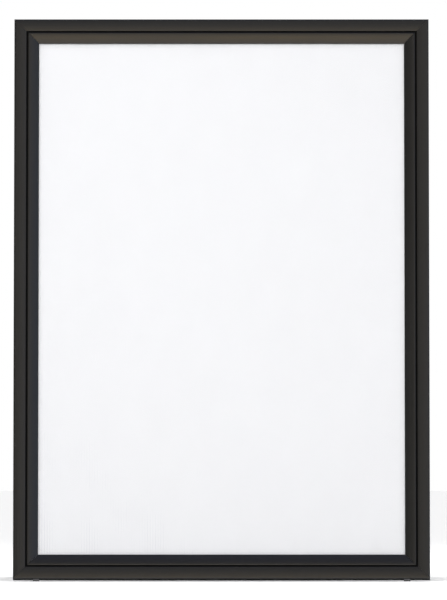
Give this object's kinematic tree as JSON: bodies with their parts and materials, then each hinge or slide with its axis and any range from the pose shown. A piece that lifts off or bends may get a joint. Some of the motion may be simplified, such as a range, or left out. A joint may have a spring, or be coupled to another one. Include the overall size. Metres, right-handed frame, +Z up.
{
  "type": "sandwich board",
  "caption": "Folding A-frame sandwich board with a snap-open poster frame, white fluted backing and clear sheet on each face, top hinges and folding side stays.",
  "frame": {"origin": "on the floor, in the middle of the open board's footprint", "axes": "+Z up, +X to the right of someone looking at the front, and the front poster frame faces -Y, leaning back 12.7 degrees"},
  "size_m": [0.651, 0.4434, 0.8801],
  "materials": {
    "profile_black": "black anodised, satin, with fine extrusion lines",
    "cover_black": "black anodised, satin, with fine extrusion lines",
    "white_fluted": "white twin-wall fluted sheet, flutes upright",
    "clear_sheet": "clear anti-glare sheet",
    "zinc_steel": "bright zinc plate",
    "spring_steel": "rolled spring steel",
    "rubber": "moulded dark grey rubber"
  },
  "bodies": {
    "front_frame": {"front_profile_bottom": "profile_black", "front_spring_bottom": "spring_steel", "front_profile_right": "profile_black", "front_spring_right": "spring_steel", "front_profile_top": "profile_black", "front_spring_top": "spring_steel", "front_profile_left": "profile_black", "front_spring_left": "spring_steel", "front_corner_key_bottom_left": "zinc_steel", "front_corner_key_bottom_right": "zinc_steel", "front_corner_key_top_left": "zinc_steel", "front_corner_key_top_right": "zinc_steel", "front_backing_sheet": "white_fluted", "front_clear_sheet": "clear_sheet", "hinge_left_front_leaf": "zinc_steel", "stay_left_front_bracket": "zinc_steel", "stay_left_front_rivet": "zinc_steel", "foot_front_left": "rubber", "hinge_right_front_leaf": "zinc_steel", "stay_right_front_bracket": "zinc_steel", "stay_right_front_rivet": "zinc_steel", "foot_front_right": "rubber", "hinge_left_pin": "zinc_steel", "hinge_right_pin": "zinc_steel"},
    "rear_frame": {"rear_profile_bottom": "profile_black", "rear_spring_bottom": "spring_steel", "rear_profile_left": "profile_black", "rear_spring_left": "spring_steel", "rear_profile_top": "profile_black", "rear_spring_top": "spring_steel", "rear_profile_right": "profile_black", "rear_spring_right": "spring_steel", "rear_corner_key_bottom_left": "zinc_steel", "rear_corner_key_bottom_right": "zinc_steel", "rear_corner_key_top_left": "zinc_steel", "rear_corner_key_top_right": "zinc_steel", "rear_backing_sheet": "white_fluted", "rear_clear_sheet": "clear_sheet", "hinge_left_rear_leaf": "zinc_steel", "stay_left_rear_bracket": "zinc_steel", "stay_left_rear_rivet": "zinc_steel", "foot_rear_left": "rubber", "hinge_right_rear_leaf": "zinc_steel", "stay_right_rear_bracket": "zinc_steel", "stay_right_rear_rivet": "zinc_steel", "foot_rear_right": "rubber"},
    "stay_left_front_link": {"stay_left_front_link": "zinc_steel", "stay_left_middle_rivet": "zinc_steel"},
    "stay_left_rear_link": {"stay_left_rear_link": "zinc_steel"},
    "stay_right_front_link": {"stay_right_front_link": "zinc_steel", "stay_right_middle_rivet": "zinc_steel"},
    "stay_right_rear_link": {"stay_right_rear_link": "zinc_steel"},
    "front_cover_bottom": {"front_cover_bottom": "cover_black"},
    "front_cover_right": {"front_cover_right": "cover_black"},
    "front_cover_top": {"front_cover_top": "cover_black"},
    "front_cover_left": {"front_cover_left": "cover_black"},
    "rear_cover_bottom": {"rear_cover_bottom": "cover_black"},
    "rear_cover_left": {"rear_cover_left": "cover_black"},
    "rear_cover_top": {"rear_cover_top": "cover_black"},
    "rear_cover_right": {"rear_cover_right": "cover_black"}
  },
  "joints": [
    {"name": "fold", "type": "hinge", "parent": "front_frame", "child": "rear_frame", "pos_m": [0, 0, 0.86079], "axis": [-1, 0, 0], "range_deg": [0, 25.4]},
    {"name": "stay_left_front_turn", "type": "hinge", "parent": "front_frame", "child": "stay_left_front_link", "pos_m": [-0.316, -0.11822, 0.3544], "axis": [1, 0, 0], "range_deg": [0, 75.5]},
    {"name": "stay_left_rear_turn", "type": "hinge", "parent": "rear_frame", "child": "stay_left_rear_link", "pos_m": [-0.316, 0.11822, 0.3544], "axis": [-1, 0, 0], "range_deg": [0, 75.5]},
    {"name": "stay_right_front_turn", "type": "hinge", "parent": "front_frame", "child": "stay_right_front_link", "pos_m": [0.316, -0.11822, 0.3544], "axis": [1, 0, 0], "range_deg": [0, 75.5]},
    {"name": "stay_right_rear_turn", "type": "hinge", "parent": "rear_frame", "child": "stay_right_rear_link", "pos_m": [0.316, 0.11822, 0.3544], "axis": [-1, 0, 0], "range_deg": [0, 75.5]},
    {"name": "front_cover_bottom_snap", "type": "hinge", "parent": "front_frame", "child": "front_cover_bottom", "pos_m": [0, -0.21419, 0.02637], "axis": [1, 0, 0], "range_deg": [0, 95]},
    {"name": "front_cover_right_snap", "type": "hinge", "parent": "front_frame", "child": "front_cover_right", "pos_m": [0.3026, -0.12051, 0.44204], "axis": [0, 0.2198, 0.9755], "range_deg": [0, 95]},
    {"name": "front_cover_top_snap", "type": "hinge", "parent": "front_frame", "child": "front_cover_top", "pos_m": [0, -0.02683, 0.85772], "axis": [-1, 0, 0], "range_deg": [0, 95]},
    {"name": "front_cover_left_snap", "type": "hinge", "parent": "front_frame", "child": "front_cover_left", "pos_m": [-0.3026, -0.12051, 0.44204], "axis": [0, -0.2198, -0.9755], "range_deg": [0, 95]},
    {"name": "rear_cover_bottom_snap", "type": "hinge", "parent": "rear_frame", "child": "rear_cover_bottom", "pos_m": [0, 0.21419, 0.02637], "axis": [-1, 0, 0], "range_deg": [0, 95]},
    {"name": "rear_cover_left_snap", "type": "hinge", "parent": "rear_frame", "child": "rear_cover_left", "pos_m": [-0.3026, 0.12051, 0.44204], "axis": [0, -0.2198, 0.9755], "range_deg": [0, 95]},
    {"name": "rear_cover_top_snap", "type": "hinge", "parent": "rear_frame", "child": "rear_cover_top", "pos_m": [0, 0.02683, 0.85772], "axis": [1, 0, 0], "range_deg": [0, 95]},
    {"name": "rear_cover_right_snap", "type": "hinge", "parent": "rear_frame", "child": "rear_cover_right", "pos_m": [0.3026, 0.12051, 0.44204], "axis": [0, 0.2198, -0.9755], "range_deg": [0, 95]}
  ],
  "couplings": [
    {"joint": "stay_left_front_turn", "follows": "fold", "ratio": 2.967},
    {"joint": "stay_left_rear_turn", "follows": "fold", "ratio": 2.967},
    {"joint": "stay_right_front_turn", "follows": "fold", "ratio": 2.967},
    {"joint": "stay_right_rear_turn", "follows": "fold", "ratio": 2.967}
  ]
}
